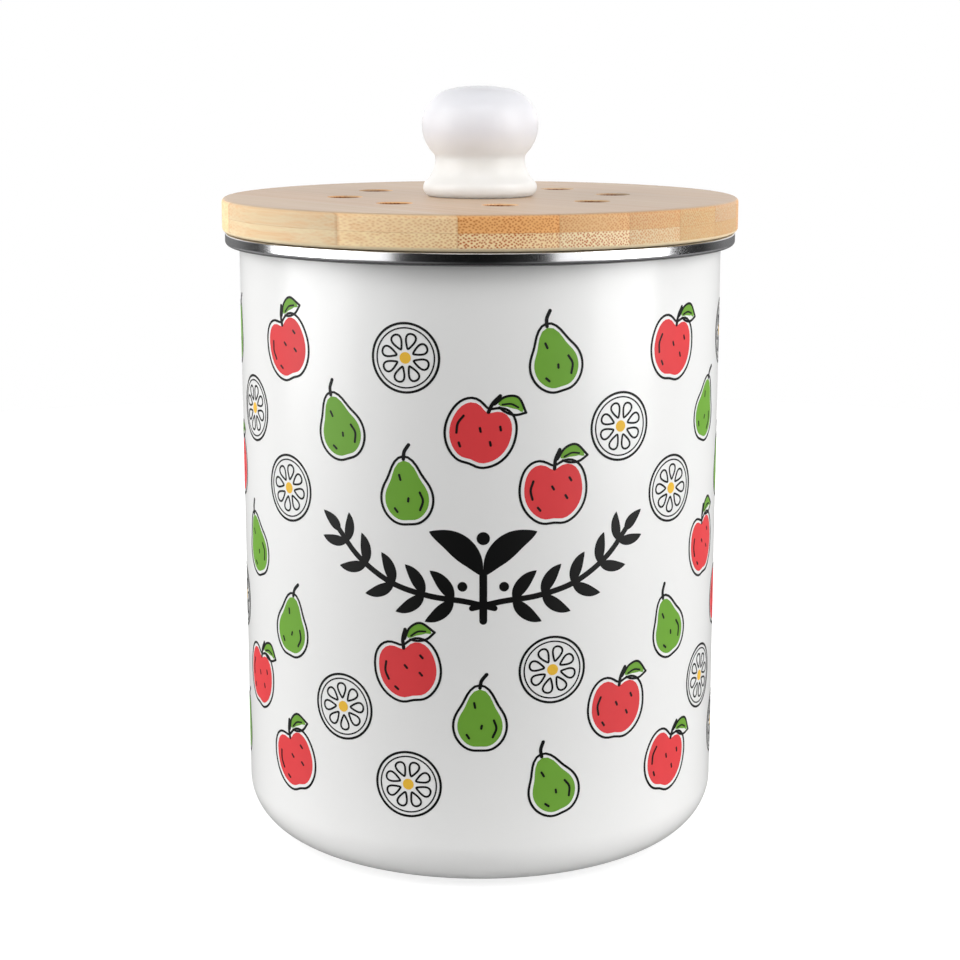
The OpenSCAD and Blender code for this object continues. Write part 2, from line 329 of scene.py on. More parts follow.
def band(path, half, across=2, closed=False):
    """A strip along a path: row i holds path(i) + s half(i) n(i), n being the heading turned left."""
    heading = headings(path, closed)
    normal = np.stack([-heading[:, 1], heading[:, 0]], 1)
    s = np.linspace(-1, 1, across)[None, :, None]
    half = np.broadcast_to(np.asarray(half, float), len(path))[:, None, None]
    points = (path[:, None] + s * half * normal[:, None]).reshape(-1, 2)
    n = len(path)
    i, j = np.meshgrid(np.arange(n if closed else n - 1), np.arange(across - 1), indexing="ij")
    k = (i + 1) % n
    faces = np.stack([i * across + j, k * across + j, k * across + j + 1, i * across + j + 1], -1)
    return points, faces.reshape(-1, 4)


def stroke(knots, width, steps=6):
    """A line of one width. In its round ends the half width is w cos a and the path runs on by w sin a."""
    path = curve(knots, steps)
    heading = headings(path)
    a = np.linspace(0, math.radians(86), 5)[1:]
    w = width / 2
    before = path[0] - heading[0] * (w * np.sin(a))[::-1, None]
    after = path[-1] + heading[-1] * (w * np.sin(a))[:, None]
    half = np.concatenate([w * np.cos(a)[::-1], np.full(len(path), w), w * np.cos(a)])
    return band(np.concatenate([before, path, after]), half)


def blade(knots, width, steps=6, across=4, fullest=0.42):
    """A leaf along a path: its half width at share t is w sin(pi t') to the 0.8, t' being bent so that the
    leaf is fullest at one share of its length."""
    path = curve(knots, steps)
    t = np.linspace(0.004, 0.996, len(path))
    bent = t ** (math.log(0.5) / math.log(fullest))
    return band(path, width / 2 * np.sin(np.pi * bent) ** 0.8, across)


def disc(outline, rings):
    """A filled shape: ring k of its points is the outline shrunk to k / rings about its mean point."""
    centre, sides = outline.mean(0), len(outline)
    share = np.arange(1, rings + 1)[:, None, None] / rings
    points = np.concatenate([(centre + share * (outline - centre)).reshape(-1, 2), centre[None]])
    return points, np.concatenate([ring_faces(rings, sides)[:, ::-1],
                                   fan(len(points) - 1, 0, sides, True)])


def polar(radius, sides=40):
    """A closed outline: at the angle a from straight up it lies radius(a) from the middle, anticlockwise."""
    a = turns(sides)
    r = radius(np.minimum(a, 2 * np.pi - a))
    return np.stack([-r * np.sin(a), r * np.cos(a)], 1)


def hump(a, centre, width):
    """A smooth rise of height 1 at centre that falls off over width."""
    return np.exp(-((a - centre) / width) ** 2)


def moved(shape, right=0.0, up=0.0, turn=0.0, size=1.0):
    """A sheet scaled, turned anticlockwise by an angle in degrees, and then shifted."""
    a = math.radians(turn)
    spin = np.array([[math.cos(a), math.sin(a)], [-math.sin(a), math.cos(a)]])
    return size * shape[0] @ spin + [right, up], shape[1]


def joined(shapes):
    """One sheet out of several, each one's corner numbers moved on past those before it."""
    points, faces = zip(*shapes)
    starts = np.cumsum([0, *map(len, points)])
    return np.concatenate(points), np.concatenate(
        [np.where(f < 0, -1, f + k) for f, k in zip(faces, starts)])


def film(shape, radius, ink):
    """A closed film of ink on the wall. A flat point (u, v) goes to the angle u / R and the height v, once
    proud of the wall and once sunk in it, and the border joins the two."""
    flat, faces = shape[0] * MM, shape[1]
    a = flat[:, 0] / radius

    def shell(r):
        return np.stack([r * np.sin(a), -r * np.cos(a), flat[:, 1]], 1)

    n = len(flat)
    under = flipped(faces)
    under = np.where(under < 0, -1, under + n)
    start, end = border(faces).T
    wall = np.stack([start, start + n, end + n, end], -1)
    return np.concatenate([shell(radius + ink), shell(radius - SUNK)]), np.concatenate([faces, under, wall])


# ---- motifs, in millimetres


def apple(line):
    """A round fruit with a dimple at its top and a smaller one below, its stalk, one leaf and short marks."""
    def outline(a):
        return 11.4 * (1 - 0.26 * hump(a, 0, 0.34) + 0.07 * hump(a, 0.8, 0.45) - 0.08 * hump(a, np.pi, 0.26))
    stalk = [(0.2, 7.4), (0.6, 10.6), (2.0, 13.6)]
    leaf = [(2.4, 10.8), (5.2, 12.9), (8.6, 12.7), (10.6, 11.0)]
    sides = [[(1.2, 10.4), (3.8, 14.0), (7.8, 15.0), (11.8, 11.2)],
             [(11.8, 11.2), (8.8, 9.4), (5.6, 9.2), (3.0, 10.0)]]
    vein = [(3.6, 11.2), (6.2, 12.3), (8.8, 12.0)]
    marks = [[(-6.9, 3.6), (-7.8, 0.6), (-7.2, -2.4)], [(-5.4, -5.2), (-4.6, -6.2)],
             [(5.4, 4.2), (6.0, 3.2)], [(4.0, -1.6), (4.6, -2.6)], [(-0.6, 1.6), (0.0, 0.6)]]
    return {
        "red": [disc(polar(lambda a: outline(a) - 1.5), 5)],
        "green": [blade(leaf, 4.0)],
        "black": [band(polar(outline, 56), line / 2, closed=True), stroke(stalk, 1.5 * line),
                  *(stroke(side, line) for side in sides), stroke(vein, 0.8 * line),
                  *(stroke(mark, line) for mark in marks)],
    }


def pear(line):
    """A fruit with a round body and a neck, its stalk, a line down one side and three short marks."""
    def outline(a):
        return 8.9 + 5.2 * hump(a, 0, 0.46) - 0.5 * hump(a, np.pi, 0.3)
    stalk = [(0, 10.6), (0.5, 13.0), (2.2, 15.2)]
    marks = [[(4.6, -0.6), (5.4, -3.4), (4.2, -6.4)], [(-3.6, -6.8), (-4.4, -5.6)],
             [(-1.6, 3.8), (-1.9, 5.4)], [(0.4, -3.4), (0.6, -2.4)]]
    return {
        "green": [moved(disc(polar(lambda a: outline(a) - 1.4), 4), up=-2.6)],
        "black": [moved(band(polar(outline, 52), line / 2, closed=True), up=-2.6),
                  stroke(stalk, 1.5 * line), *(stroke(mark, line) for mark in marks)],
    }


def citrus(line):
    """A cut fruit: its peel, its pith and eight drop-shaped segments round a heart."""
    def ring(r, sides=56):
        return polar(lambda a: np.full_like(a, r), sides)
    a = turns(22)
    drop = np.stack([2.35 * np.sin(a) * (0.62 - 0.38 * np.cos(a)), 5.55 - 2.55 * np.cos(a)], 1)[::-1]
    segment = band(drop, line * 0.42, closed=True)
    return {
        "yellow": [disc(ring(1.9, 20), 2)],
        "black": [band(ring(11.2), line / 2, closed=True), band(ring(9.7), line * 0.3, closed=True)]
        + [moved(segment, turn=k * 45.0) for k in range(8)],
    }


def garland():
    """A bold spray: a sprout with two leaves and a bud in the middle, and a leafy twig out to each side."""
    knots = [(-3.5, -15.6), (6, -13.4), (17, -12.0), (29, -8.6), (40, -1.6), (47.5, 6.6)]
    spine = curve(knots, 16)
    heading = headings(spine)
    half = [stroke(knots, 1.8, 8)]
    for share in np.linspace(0.27, 0.92, 5):
        i = int(share * (len(spine) - 1))
        lean = math.degrees(math.atan2(heading[i][1], heading[i][0]))
        long = 12.4 - 3.4 * share
        leaf = blade([(0, 0), (0.35 * long, 0.05 * long), (0.7 * long, 0.04 * long), (long, -0.03 * long)],
                     0.37 * long, 5, 4)
        half += [moved(leaf, *spine[i], lean + 47), moved(mirrored_down(leaf), *spine[i], lean - 47)]
    half.append(moved(blade([(0, 0), (4.0, 0.3), (8.6, -0.2)], 3.6, 8, 4), 47.0, 6.0, 44))
    half.append(blade([(0.2, -5.4), (3.8, 0.4), (9.2, 5.2), (16.6, 8.2)], 7.6, 8, 6, 0.52))
    berry = disc(polar(lambda a: np.full_like(a, 1.7), 24), 1)
    half.append(moved(berry, 6.4, -8.8, size=0.9))
    middle = [stroke([(0, -19.6), (0, -12), (0, -4.4)], 2.4), moved(berry, 0.0, 6.4, size=1.2)]
    return joined(middle + half + [mirrored(s) for s in half])


def mirrored_down(shape):
    """The mirror image of a sheet about the level axis."""
    return moved(mirrored(shape), turn=180.0)


def mirrored(shape):
    """The mirror image of a sheet about the upright axis."""
    return shape[0] * [-1, 1], flipped(shape[1])


def lattice(settings, radius):
    """Places and tilts of the motifs: columns at equal angles, every other one half a row up, the kinds in
    turn. Three columns leave one out for the garland, and the two between push theirs away from it."""
    pushes = {1: -7.6, 2: 4.0}
    pitch = 2 * math.pi * radius / MM / settings.columns
    row, low = settings.rows / MM, settings.lowest / MM
    places = {"apple": [], "pear": [], "citrus": []}
    kinds = list(places)
    for j in range(settings.columns):
        column = (j + settings.columns // 2) % settings.columns - settings.columns // 2
        shifted = column % 2 == 0
        for i in range(3 if shifted else 4):
            up = low + row * (i + 0.5 * shifted)
            if column in (-2, 0, 2) and i == 1:
                continue
            if column in (-1, 1):
                up += pushes.get(i, 0)
            kind = kinds[(i + column % 3 + shifted) % 3]
            places[kind].append((column * pitch, up, 20 * math.sin(2.3 * i + 1.7 * column)))
    return places


# ---- finishes


class Wire:
    """An output of a finish's graph. Arithmetic on it adds a Math node."""

    def __init__(self, graph, socket):
        self.graph, self.socket = graph, socket

    def sum(self, operation, *values):
        """A Math node on this value and the others."""
        return self.graph.add("Math", {"operation": operation}, dict(enumerate((self, *values))))

    __add__ = __radd__ = partialmethod(sum, "ADD")
    __mul__ = __rmul__ = partialmethod(sum, "MULTIPLY")
    __sub__ = partialmethod(sum, "SUBTRACT")
    __truediv__ = partialmethod(sum, "DIVIDE")

    def __rsub__(self, other):
        return self.graph.add("Math", {"operation": "SUBTRACT"}, {0: other, 1: self})

    def clip(self, low, high):
        """How far the value is from low to high, held between 0 and 1."""
        return self.graph.add("MapRange", {"clamp": True},
                              {"Value": self, "From Min": low, "From Max": high})


class Graph:
    """The node graph of a finish, or of the room."""

    def __init__(self, owner):
        owner.use_nodes = True
        self.owner, self.tree = owner, owner.node_tree
        self.tree.nodes.clear()

    def add(self, kind, settings=None, values=None, out=0):
        """One shader node: its kind, its settings, and its sockets' values or links by name or number."""
        node = self.tree.nodes.new("ShaderNode" + kind)
        for name, value in (settings or {}).items():
            setattr(node, name, value)
        for name, value in (values or {}).items():
            socket = node.inputs[name]
            if isinstance(value, Wire):
                self.tree.links.new(value.socket, socket)
            else:
                socket.default_value = (*value, 1.0) if socket.type == "RGBA" and len(value) == 3 else value
        return Wire(self, node.outputs[out]) if node.outputs else node

    def steps(self, stops, place):
        """A colour and an alpha in flat steps, each with its start from 0 to 1, linear colour and alpha."""
        tint = self.add("ValToRGB", {}, {"Fac": place})
        ramp = tint.socket.node.color_ramp
        ramp.interpolation = "CONSTANT"
        ramp.elements.remove(ramp.elements[-1])
        for k, (start, shade, alpha) in enumerate(stops):
            element = ramp.elements[0] if k == 0 else ramp.elements.new(start)
            element.position = start
            element.color = (*shade, alpha)
        return tint, Wire(self, tint.socket.node.outputs["Alpha"])

    def place(self):
        """The point's place on the piece, in metres."""
        return self.add("TexCoord", out="Object")

    def facing(self):
        """The surface's direction."""
        return self.add("TexCoord", out="Normal")

    def vectors(self, operation, *values, out=0):
        """A Vector Math node."""
        return self.add("VectorMath", {"operation": operation}, dict(enumerate(values)), out)

    def along(self, vector, direction):
        """How far a vector reaches along a direction."""
        return self.vectors("DOT_PRODUCT", vector, direction, out="Value")

    def size(self, vector):
        """The length of a vector."""
        return self.vectors("LENGTH", vector, out="Value")

    def scaled(self, vector, factors):
        """A vector with each of its parts multiplied."""
        return self.vectors("MULTIPLY", vector, factors)

    def from_axis(self):
        """The point's distance from the Z axis."""
        return self.size(self.scaled(self.place(), (1, 1, 0)))

    def vector(self, x, y, z):
        """A vector out of three numbers."""
        return self.add("CombineXYZ", values={"X": x, "Y": y, "Z": z})

    def noise(self, vector, scale=1.0, detail=3.0, rough=0.5):
        """Smooth noise about 0.5."""
        return self.add("TexNoise", {"noise_dimensions": "3D"},
                        {"Vector": vector, "Scale": scale, "Detail": detail, "Roughness": rough})

    def mixed(self, share, first, second):
        """Two colours mixed, the share being that of the second."""
        return self.add("Mix", {"data_type": "RGBA"}, {0: share, 6: first, 7: second}, 2)

    def bump(self, height, distance):
        """A normal tilted by a height of distance metres for each unit."""
        return self.add("Bump", {}, {"Height": height, "Distance": distance, "Strength": 1.0})

    def surface(self, **values):
        """The finish itself: a principled surface. An underscore in a value's name stands for a space."""
        shader = self.add("BsdfPrincipled", {}, {k.replace("_", " "): v for k, v in values.items()})
        self.add("OutputMaterial", {}, {"Surface": shader})
        return self.owner


def new_finish(name):
    """A new material's graph."""
    return Graph(bpy.data.materials.new(name))


def enamel_finish(shade):
    """Fired enamel: a white body under a soft clear gloss, with the slow waves of a dipped coat."""
    g = new_finish("fired_enamel")
    waves = g.noise(g.scaled(g.place(), (38, 38, 26)), 1.0, 2.0)
    warm = tuple(c * k for c, k in zip(shade, (0.985, 0.98, 0.97)))
    return g.surface(
        Base_Color=g.mixed((waves - 0.35) * 0.5, shade, warm),
        Roughness=0.30 + 0.10 * waves, IOR=1.5, Coat_Weight=0.6, Coat_Roughness=0.22,
        Normal=g.bump(waves, 0.00005))


def ink_finish(name, shade, deep):
    """Fired ink: its colour a little uneven, and duller than the enamel round it."""
    g = new_finish(name)
    cloud = g.noise(g.place(), 160.0, 4.0)
    grain = g.noise(g.place(), 2400.0, 2.0)
    return g.surface(
        Base_Color=g.mixed((cloud - 0.3) * 0.6, shade, tuple(c * deep for c in shade)),
        Roughness=0.42 + 0.12 * grain, Specular_IOR_Level=0.3)


def polished_finish(shade):
    """Polished steel: mirror bright, with the mop's faint hairlines round it, rougher and painted darker as
    shade underneath.
    """
    g = new_finish("polished_steel")
    p = g.place()
    hair = g.noise(g.vector(g.from_axis() * 9000, g.along(p, (0, 0, 9000)), g.along(p, (20, 0, 0))), 1.0, 3.0)
    smear = g.noise(p, 60.0, 3.0)
    # painted shade: where the steel faces down, its colour is painted darker, and it is also made rougher
    under = g.along(g.facing(), (0, 0, -1)).clip(0.50, 0.75)
    bright = g.mixed(smear.clip(0.35, 0.8) * 0.25, shade, tuple(c * 0.86 for c in shade))
    return g.surface(
        Base_Color=g.mixed(under, bright, linear(122, 122, 124)),
        Metallic=1.0, Roughness=0.16 + 0.03 * hair.clip(0.4, 0.8) + 0.03 * smear + 0.12 * under)


def bamboo_finish(name, lid, staves, seed, contrast=1.0, bored=True):
    """Laminated bamboo: staves of their own colours side by side, full of fibre bundles along the grain.
    A point's stave number sums how far it is across each stave, from 0 to 1. The bundles are staggered cells
    in the plane across the grain that wander a little along it, so an end of the grain shows dots and a side
    streaks. A stave's fourth number is how dark they are. Seams are narrow darker lines. The top face is
    painted one darker, greyer tone as shade and sheen, the upper arris is painted darker as shade, the lower
    one pale as a painted highlight, and the bores' walls are darker."""
    g = new_finish(name)
    p = g.place()
    sin, cos = math.sin(lid.grain), math.cos(lid.grain)
    across = g.along(p, (cos, sin, 0))
    along = g.along(p, (sin, -cos, 0))
    up = g.along(p, (0, 0, 1))
    seams = list(lid.seams)
    stave = sum(across.clip(low, high) for low, high in zip(seams, seams[1:]))
    number = stave.sum("FLOOR")
    seam = stave - number
    count = len(staves)
    stops = [(k / count, linear(*s[:3]), s[3]) for k, s in enumerate(staves)]
    tint, strength = g.steps(stops, (number + 0.5) / count)
    shift = number * 7.31 + seed
    wander = g.noise(g.vector(across * 260 + shift, up * 260, along * 16), 1.0, 1.0) * 0.9
    pitch = lid.bundle * math.sqrt(2)
    cells = g.vector((across + up) / pitch + shift + wander, (across - up) / pitch + wander, 0.0)
    dots = g.add("TexVoronoi", {"voronoi_dimensions": "2D", "feature": "F1"},
                 {"Vector": cells, "Scale": 1.0, "Randomness": 0.55}, "Distance")
    fibre = 1 - dots.clip(0.12, 0.48)
    streak = g.noise(g.vector(across * 420 + shift, up * 420, along * 9), 1.0, 4.0, 0.6)
    fine = g.noise(g.vector(across * 2600 + shift, up * 2600, along * 40), 1.0, 2.0)
    patch = g.noise(g.scaled(p, (70, 70, 160)), 1.0, 2.0).clip(0.3, 0.7)
    facing = g.facing()
    end = g.along(facing, (sin, -cos, 0)).sum("ABSOLUTE")
    rise = g.along(facing, (0, 0, 1))
    flat = rise.clip(0.60, 0.86)
    outer = g.from_axis().clip(lid.radius - 5.5 * MM, lid.radius - 2.5 * MM)
    edge = (seam - 0.5).sum("ABSOLUTE").clip(0.482, 0.496)
    depth = end.clip(0.22, 0.72)
    body = g.mixed(streak.clip(0.42, 0.72) * (0.42 - 0.26 * depth), tint, linear(228, 156, 90))
    body = g.mixed(fine.clip(0.45, 0.75) * 0.10, body, linear(222, 146, 82))
    marks = fibre * (0.12 + 0.88 * depth) * (0.92 + 0.69 * patch) * strength * contrast
    body = g.mixed(marks, body, lid.fibre)
    body = g.mixed(edge * 0.28, body, linear(176, 106, 54))
    # painted shade and sheen: where the lid faces up, it gets one darker, greyer tone
    painted_top_shade = g.mixed(streak.clip(0.3, 0.7) * 0.5, lid.painted_top_shade, tuple(c * 0.86 for c in lid.painted_top_shade))
    body = g.mixed(flat * 0.88, body, painted_top_shade)
    glue = 1 - (up - lid.joint).sum("ABSOLUTE").clip(0.00006, 0.00022)
    body = g.mixed(outer * glue * (0.05 + 0.30 * patch), body, linear(184, 128, 76))
    # painted highlight: where the outer arris faces down, it is painted pale
    body = g.mixed(outer * 0.9 * (0 - rise).clip(0.14, 0.34), body, lid.lower_arris_highlight)
    # painted shade: where the outer arris faces upward, its colour is painted darker
    body = g.mixed(outer * 0.3 * rise.clip(0.12, 0.5) * (1 - flat), body, linear(184, 128, 76))
    if bored:
        # the walls of the vents' bores are given a darker colour
        wall = (1 - outer) * (1 - rise.sum("ABSOLUTE").clip(0.3, 0.6))
        body = g.mixed(wall * (0.7 + 0.3 * fibre), body, lid.bore_wall_tone)
    return g.surface(
        Base_Color=body, Roughness=0.40 + 0.12 * streak + 0.10 * fibre, Coat_Weight=0.02 + 0.28 * flat,
        Coat_Roughness=0.20, Specular_IOR_Level=0.2,
        Normal=g.bump(streak * 0.3 - fibre * (0.2 + 0.8 * depth) * strength - edge, 0.000005))


def glaze_finish(shade, painted_crown_shade, low, high):
    """Glazed ceramic: a soft white body under clear glaze with slow ripples, its colour painted darker and a
    little cooler towards the crown as shade, and paler towards the foot."""
    g = new_finish("knob_glaze_white")
    ripple = g.noise(g.scaled(g.place(), (70, 70, 45)), 1.0, 2.0)
    speck = g.noise(g.place(), 1500.0, 2.0)
    # painted shade: this height mask turns the colour darker and cooler towards the crown
    height = g.along(g.place(), (0, 0, 1)).clip(low, high)
    return g.surface(
        Base_Color=g.mixed(height + 0.2 * (ripple - 0.5), shade, painted_crown_shade), Subsurface_Weight=1.0,
        Subsurface_Radius=(1.0, 1.0, 1.0), Subsurface_Scale=0.016,
        Roughness=0.46 + 0.08 * speck, IOR=1.5, Specular_IOR_Level=0.3, Coat_Weight=0.28, Coat_Roughness=0.12,
        Normal=g.bump(ripple, 0.00018))


def silicone_finish():
    """Milky silicone: soft, a little cloudy, with a fine moulded grain."""
    g = new_finish("milky_silicone")
    cloud = g.noise(g.place(), 120.0, 3.0)
    grain = g.noise(g.place(), 3500.0, 2.0)
    return g.surface(
        Base_Color=g.mixed(cloud.clip(0.3, 0.7) * 0.5, linear(226, 226, 220), linear(208, 210, 206)),
        Roughness=0.48 + 0.15 * grain, Subsurface_Weight=0.15, Subsurface_Radius=(0.002, 0.002, 0.002),
        Normal=g.bump(grain, 0.00001))


def turned_metal_finish(name, shade, stretch):
    """Turned or brushed metal: fine scratches drawn out along one way, with duller patches."""
    g = new_finish(name)
    p = g.place()
    scratch = g.noise(g.scaled(p, stretch), 1.0, 4.0, 0.6)
    patch = g.noise(p, 180.0, 3.0)
    return g.surface(
        Base_Color=g.mixed(patch.clip(0.35, 0.75) * 0.35, shade, tuple(c * 0.72 for c in shade)),
        Metallic=1.0, Roughness=0.24 + 0.22 * scratch.clip(0.3, 0.7) + 0.06 * patch,
        Normal=g.bump(scratch, 0.000006))


def foam_finish():
    """Carbon foam: black open cells with paler strands between them."""
    g = new_finish("carbon_foam")
    cells = g.add("TexVoronoi", {"voronoi_dimensions": "3D", "feature": "DISTANCE_TO_EDGE"},
                  {"Vector": g.place(), "Scale": 620.0}, "Distance")
    strand = 1 - cells.clip(0.02, 0.16)
    dust = g.noise(g.place(), 900.0, 3.0)
    return g.surface(
        Base_Color=g.mixed(strand * (0.4 + 0.6 * dust), linear(16, 16, 17), linear(62, 62, 63)),
        Roughness=0.80 + 0.15 * dust, Normal=g.bump(strand + 0.3 * dust, 0.0005))


# ---- operators


class CADDY_OT_canister(Operator):
    """Makes the enamelled canister as one turned sheet, from its base panel to its flange"""
    bl_idname = "caddy.canister"
    bl_label = "Enamelled Canister"

    def execute(self, context):
        s = context.scene.caddy_canister
        r, t = s.wall_radius, s.wall
        foot = r - s.corner
        panel = foot - s.foot - 3 * s.kick_up
        corner = (foot, s.corner)
        flare = (r + s.flare, s.height - t - s.flare)

        def straight(radius, start, stop):
            return np.stack([np.full(12, radius), np.linspace(start, stop, 14)[1:-1]], 1)

        outside = [[(0, s.kick_up), (panel * 0.5, s.kick_up), (panel, s.kick_up), (foot - s.foot, 0)],
                   arc(corner, s.corner, -90, 0, 24), straight(r, s.corner, flare[1]),
                   arc(flare, s.flare, 180, 90, 10),
                   arc((s.flange - t / 2, s.height - t / 2), t / 2, -90, 90, 10)]
        inside = [arc(flare, s.flare + t, 90, 180, 12), straight(r - t, flare[1], s.corner),
                  arc(corner, s.corner - t, 0, -90, 24),
                  [(foot - s.foot, t), (panel, s.kick_up + t), (panel * 0.5, s.kick_up + t),
                   (0, s.kick_up + t)]]
        shell = revolve(np.concatenate(outside + inside), ROUND)
        piece("enamel_shell", shell, enamel_finish(s.enamel), "canister", ("canister_body",))
        return {"FINISHED"}


class CADDY_OT_rim(Operator):
    """Makes the steel rim that is rolled over the canister's flange"""
    bl_idname = "caddy.rim"
    bl_label = "Rolled Steel Rim"

    def execute(self, context):
        s, c = context.scene.caddy_rim, context.scene.caddy_canister
        slope = math.degrees(s.slope)
        bend = np.array((s.radius - s.bend, s.height - s.face))
        shoulder = (s.radius - s.sheet, s.height - s.sheet)
        flare = (c.wall_radius + c.flare, c.height - c.wall - c.flare)
        leg = c.flare + c.wall
        down = np.array((math.cos(s.slope), -math.sin(s.slope)))
        outer = bend + s.bend * down
        inner = outer - s.sheet * down
        foot = c.wall_radius + FIT
        fall = 1 / math.tan(s.slope)
        outside = [[(foot, outer[1] - fall * (outer[0] - foot))],
                   arc(bend, s.bend, -slope, 0, 14), arc(shoulder, s.sheet, 0, 90, 8),
                   arc(flare, leg + s.sheet, 90, 130, 10)]
        inside = [arc(flare, leg + FIT, 130, 90, 10),
                  [(flare[0], c.height), (s.radius - s.sheet, c.height)],
                  arc(bend, s.bend - s.sheet, 0, -slope, 10),
                  [(foot, inner[1] - fall * (inner[0] - foot))]]
        rim = revolve(np.concatenate(outside + inside), ROUND)
        piece("steel_rim", rim, polished_finish(s.steel), "canister", ("rim_band",))
        return {"FINISHED"}


class CADDY_OT_motifs(Operator):
    """Prints the fruit motifs round the wall, one film for each ink"""
    bl_idname = "caddy.motifs"
    bl_label = "Fruit Print"

    def execute(self, context):
        s, c = context.scene.caddy_print, context.scene.caddy_canister
        line = s.line / MM
        drawn = {"apple": apple(line), "pear": pear(line), "citrus": citrus(line)}
        inks = {"red": [], "green": [], "yellow": [], "black": []}
        for kind, places in lattice(s, c.wall_radius).items():
            for colour_name, shapes in drawn[kind].items():
                motif = joined(shapes)
                inks[colour_name] += [moved(motif, u, v, turn, s.scale) for u, v, turn in places]
        for colour_name, shapes in inks.items():
            finish = ink_finish(f"fired_{colour_name}_ink", getattr(s, colour_name), 0.86)
            proud = s.ink * (1.5 if colour_name == "black" else 1.0)
            ink = film(joined(shapes), c.wall_radius, proud)
            piece(f"print_{colour_name}", ink, finish, "canister")
        return {"FINISHED"}


class CADDY_OT_garland(Operator):
    """Prints the black garland on the front of the wall"""
    bl_idname = "caddy.garland"
    bl_label = "Garland Print"

    def execute(self, context):
        s, c = context.scene.caddy_print, context.scene.caddy_canister
        spray = film(moved(garland(), *GARLAND_PLACE), c.wall_radius, s.ink)
        piece("print_garland", spray, bpy.data.materials["fired_black_ink"], "canister")
        return {"FINISHED"}


class CADDY_OT_lid(Operator):
    """Finishes the lid's two bamboo plies and its plug ring"""
    bl_idname = "caddy.lid"
    bl_label = "Bamboo Lid"

    def execute(self, context):
        s = context.scene.caddy_lid
        upper = [(226, 203, 164, 0.30), (255, 226, 178, 0.32), (248, 189, 122, 0.55), (233, 191, 138, 0.45),
                 (216, 178, 130, 0.35), (207, 179, 134, 0.30), (202, 178, 144, 0.35), (224, 186, 138, 0.50),
                 (232, 204, 160, 0.40)]
        lower = [(233, 213, 173, 0.35), (255, 229, 180, 0.38), (255, 228, 180, 0.72), (250, 232, 191, 0.66),
                 (223, 201, 160, 0.50), (207, 178, 133, 0.30), (202, 174, 131, 0.30), (228, 196, 150, 0.70),
                 (232, 206, 164, 0.40)]
        refinish(bamboo_finish("bamboo_upper_ply", s, upper, 3.0), "lid_top_board")
        refinish(bamboo_finish("bamboo_lower_ply", s, lower, 11.0), "lid_under_board")
        refinish(bamboo_finish("bamboo_plug", s, lower[::-1], 19.0, 0.8, False), "plug_ring")
        return {"FINISHED"}


class CADDY_OT_knob(Operator):
    """Makes the glazed knob, from its crown to its foot, with the bore for its insert"""
    bl_idname = "caddy.knob"
    bl_label = "Glazed Knob"

    def execute(self, context):
        s = context.scene.caddy_knob
        base, head = top("lid_top_board"), s.head
        # the section's radii, as shares of the head's
        crown_r, shoulder_r, belly_r, waist, flare_r, bead_r = (
            k * head for k in (2.64, 0.62, 0.69, 0.772, 0.535, 0.15))
        crown = np.array((0, base + s.height - crown_r))
        side = head - shoulder_r
        rise = math.sqrt((crown_r - shoulder_r) ** 2 - side ** 2)
        shoulder = crown + (side, rise)
        crown_end = math.degrees(math.atan2(rise, side))
        belly = (head - belly_r, shoulder[1])
        waist_z = base + 0.344 * s.height
        fall, inset = belly[1] - waist_z, waist - belly[0]
        nape_r = (inset ** 2 + fall ** 2 - belly_r ** 2) / (2 * (belly_r - inset))
        nape = (waist + nape_r, waist_z)
        belly_end = math.degrees(math.atan2(nape[1] - belly[1], nape[0] - belly[0]))
        bead_z = base + bead_r
        flare = (waist + flare_r, waist_z)
        bead_x = flare[0] - math.sqrt((flare_r + bead_r) ** 2 - (waist_z - bead_z) ** 2)
        bead_end = math.degrees(math.atan2(waist_z - bead_z, flare[0] - bead_x))
        bore, floor, roof = 3.65 * MM, base + 1.2 * MM, base + 12.7 * MM
        ring = bead_x - 2 * MM
        section = np.concatenate([
            [(0, roof), (bore, roof), (bore, floor), (ring, floor), (ring, base)],
            arc((bead_x, bead_z), bead_r, -90, bead_end, 20),
            arc(flare, flare_r, 180 + bead_end, 180, 20)[1:],
            arc(nape, nape_r, 180, 180 + belly_end, 12)[1:],
            arc(belly, belly_r, belly_end, 0, 20)[1:],
            arc(shoulder, shoulder_r, 0, crown_end, 20)[1:],
            arc(crown, crown_r, crown_end, 90, 12)[1:]])
        section[-1, 0] = 0
        finish = glaze_finish(s.glaze, s.painted_crown_shade, base + 0.3 * s.height, base + 0.6 * s.height)
        piece("glazed_knob", revolve(section, ROUND_SMALL), finish, "lid", ("knob",))
        return {"FINISHED"}


class CADDY_OT_seal(Operator):
    """Makes the silicone seal, a strip whose lip stands out in three soft ribs"""
    bl_idname = "caddy.seal"
    bl_label = "Silicone Seal"

    def execute(self, context):
        low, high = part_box("seal_ring")
        plug, groove, gap = reach("plug_ring"), 1.6 * MM, 0.3 * MM
        middle, half = (low.z + high.z) / 2, (high.z - low.z) / 2 - gap
        t = np.radians(np.linspace(-90, 90, 37))
        out = (high.x - plug) * np.cos(t) * (0.88 + 0.12 * np.cos(6 * t))
        lip = np.stack([plug + out, middle + half * np.sin(t)], 1)
        section = np.concatenate([[(plug - groove, low.z), (plug, low.z)], lip,
                                  [(plug, high.z), (plug - groove, high.z)]])
        piece("silicone_seal", revolve(section, ROUND), silicone_finish(), "lid", ("seal_ring",))
        return {"FINISHED"}


